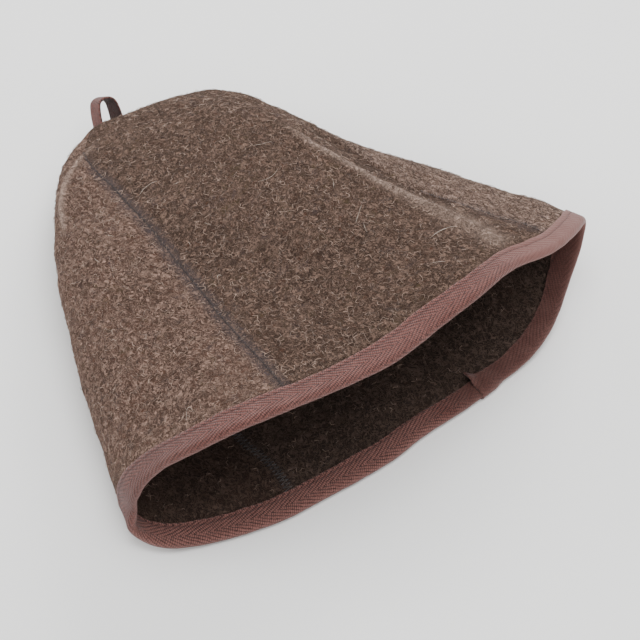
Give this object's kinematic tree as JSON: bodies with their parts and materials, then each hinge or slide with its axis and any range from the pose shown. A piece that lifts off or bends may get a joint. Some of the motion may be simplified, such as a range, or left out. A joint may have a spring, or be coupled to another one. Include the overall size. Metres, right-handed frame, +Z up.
{
  "type": "sauna hat",
  "caption": "Bell-shaped hat of thick grey-brown wool felt in three gores with a folded tape binding at the rim and a small hanging loop, lying on its side with the mouth open",
  "frame": {"origin": "centre of the bounding box in plan, at its underside, where the hat rests", "axes": "+X across the mouth from left to right, +Y from the mouth to the tip, +Z up from the surface that the hat lies on"},
  "size_m": [0.3182, 0.2938, 0.0881],
  "materials": {
    "felt": "matt mottled grey-brown wool felt",
    "felt_left": "matt mottled grey-brown wool felt, a shade lighter and redder",
    "tape": "herringbone twill tape with a slight sheen, dusty red-brown"
  },
  "bodies": {
    "root": {"gore_top": "felt", "gore_left": "felt_left", "gore_under": "felt", "rim_binding": "tape", "hanging_loop": "tape"}
  },
  "joints": []
}
